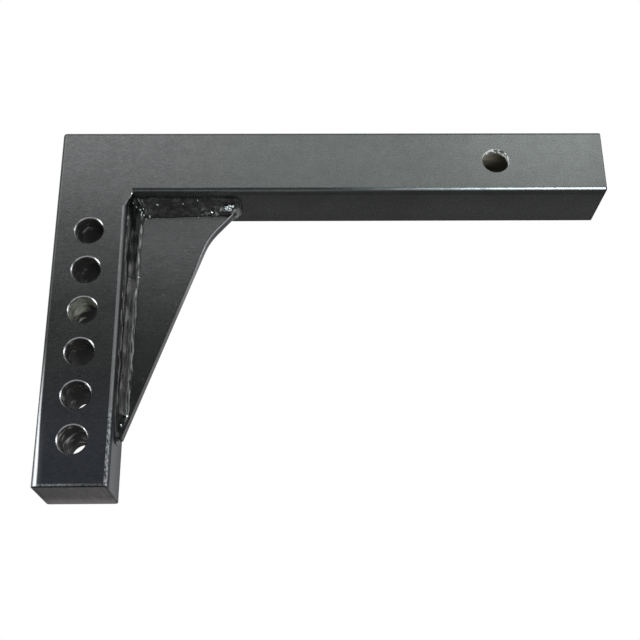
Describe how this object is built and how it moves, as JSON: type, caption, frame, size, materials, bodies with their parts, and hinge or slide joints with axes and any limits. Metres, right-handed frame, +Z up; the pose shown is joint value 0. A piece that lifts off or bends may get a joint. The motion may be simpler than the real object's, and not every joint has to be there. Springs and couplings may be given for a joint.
{
  "type": "weight distribution hitch shank",
  "caption": "Rigid welded L-shaped shank: square receiver bar with a pin hole, solid leg with a row of bolt holes for a hitch head, and a gusset plate welded in the corner.",
  "frame": {"origin": "centre of the receiver pin hole, midway through the bar", "axes": "+X along the receiver bar to its open end, +Y along the hitch pin away from the front face, +Z up; the leg hangs down"},
  "size_m": [0.4114, 0.0508, 0.2754],
  "materials": {
    "paint": "satin black paint",
    "ground_weld": "satin black paint over ground weld",
    "rippled_weld": "glossy black paint over rippled weld"
  },
  "bodies": {
    "root": {"receiver_bar": "paint", "adjustment_leg": "paint", "gusset_plate": "paint", "seam_weld": "ground_weld", "corner_weld": "ground_weld", "bar_weld": "rippled_weld", "leg_weld": "rippled_weld"}
  },
  "joints": []
}
